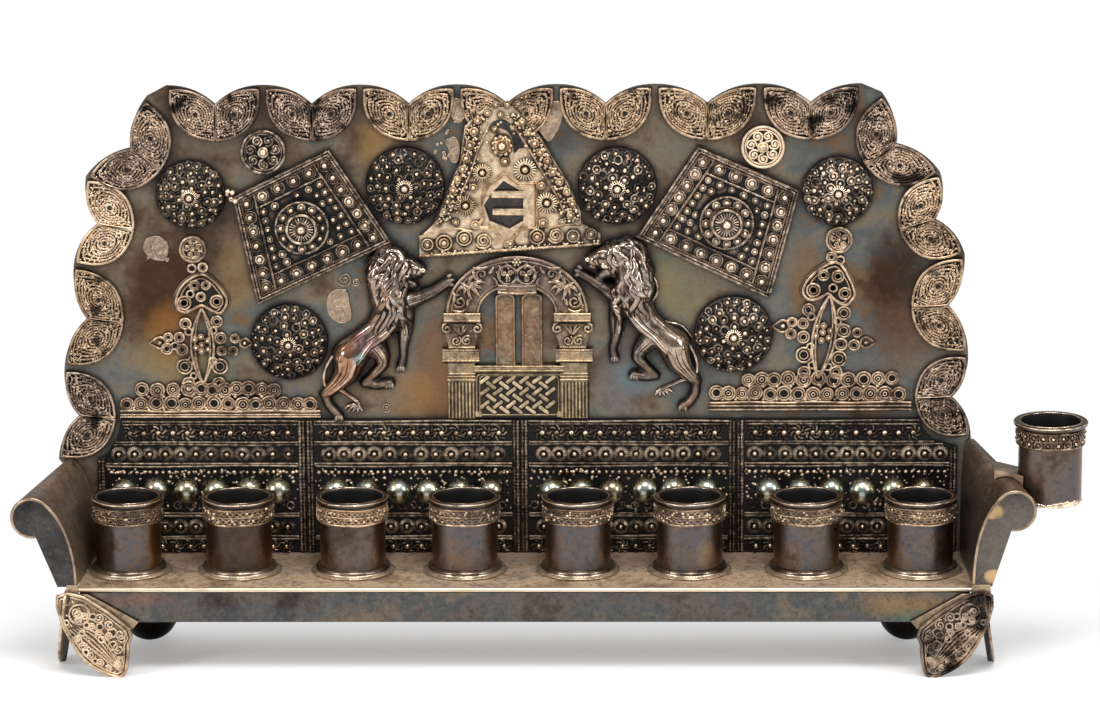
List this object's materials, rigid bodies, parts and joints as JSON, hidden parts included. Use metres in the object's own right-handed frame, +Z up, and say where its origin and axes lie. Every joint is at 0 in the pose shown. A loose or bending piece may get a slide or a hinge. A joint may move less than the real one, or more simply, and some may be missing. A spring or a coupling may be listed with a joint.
{
  "type": "hanukkah lamp",
  "caption": "Bench-type hanukkah lamp of tarnished silver sheet with a scalloped filigree backplate, rampant lions, an ark front, a row of cups and a raised servant cup.",
  "frame": {"origin": "bottom centre of the lamp's bounding box, on the table", "axes": "+Z up, +X to the viewer's right along the row of cups, +Y from the cups towards the backplate"},
  "size_m": [0.2428, 0.0382, 0.1302],
  "materials": {
    "sheet": "tarnished silver sheet, satin",
    "bench": "tarnished silver sheet with a warm tone, satin",
    "cup": "tarnished silver tube, satin",
    "leaf": "tarnished filigree wire with a gilt tone",
    "filigree": "blackened filigree and granules, satin",
    "relief": "stamped silver sheet, tarnished brown",
    "gilt": "pale gilt filigree and strip, satin",
    "ball": "blackened silver ball, satin"
  },
  "bodies": {
    "root": {"backplate": "sheet", "leaf_pair_left_1": "leaf", "leaf_pair_left_2": "leaf", "leaf_pair_left_3": "leaf", "leaf_pair_left_4": "leaf", "leaf_pair_top_1": "leaf", "leaf_pair_top_2": "leaf", "leaf_pair_top_3": "leaf", "leaf_pair_top_4": "leaf", "leaf_pair_top_5": "leaf", "leaf_pair_top_6": "leaf", "leaf_pair_top_7": "leaf", "leaf_pair_right_1": "leaf", "leaf_pair_right_2": "leaf", "leaf_pair_right_3": "leaf", "leaf_pair_right_4": "leaf", "bench_top": "bench", "bench_apron": "sheet", "arm_left": "sheet", "arm_plate_left": "sheet", "arm_right": "sheet", "arm_plate_right": "sheet", "oil_cup_1": "cup", "oil_cup_2": "cup", "oil_cup_3": "cup", "oil_cup_4": "cup", "oil_cup_5": "cup", "oil_cup_6": "cup", "oil_cup_7": "cup", "oil_cup_8": "cup", "servant_cup": "cup", "servant_saddle": "gilt", "front_foot_left": "leaf", "foot_gusset_left": "gilt", "rear_foot_left": "ball", "front_foot_right": "leaf", "foot_gusset_right": "gilt", "rear_foot_right": "ball", "panel_1": "filigree", "panel_2": "filigree", "panel_3": "filigree", "panel_4": "filigree", "rosette_1": "filigree", "rosette_2": "filigree", "rosette_3": "filigree", "rosette_4": "filigree", "rosette_5": "filigree", "rosette_6": "filigree", "small_rosette_left": "leaf", "small_rosette_right": "leaf", "plaque_left": "filigree", "plaque_right": "filigree", "tree_left": "gilt", "tree_right": "gilt", "band_left": "gilt", "band_right": "gilt", "gable": "gilt", "ark_front": "relief", "lion_left": "relief", "lion_right": "relief"}
  },
  "joints": []
}
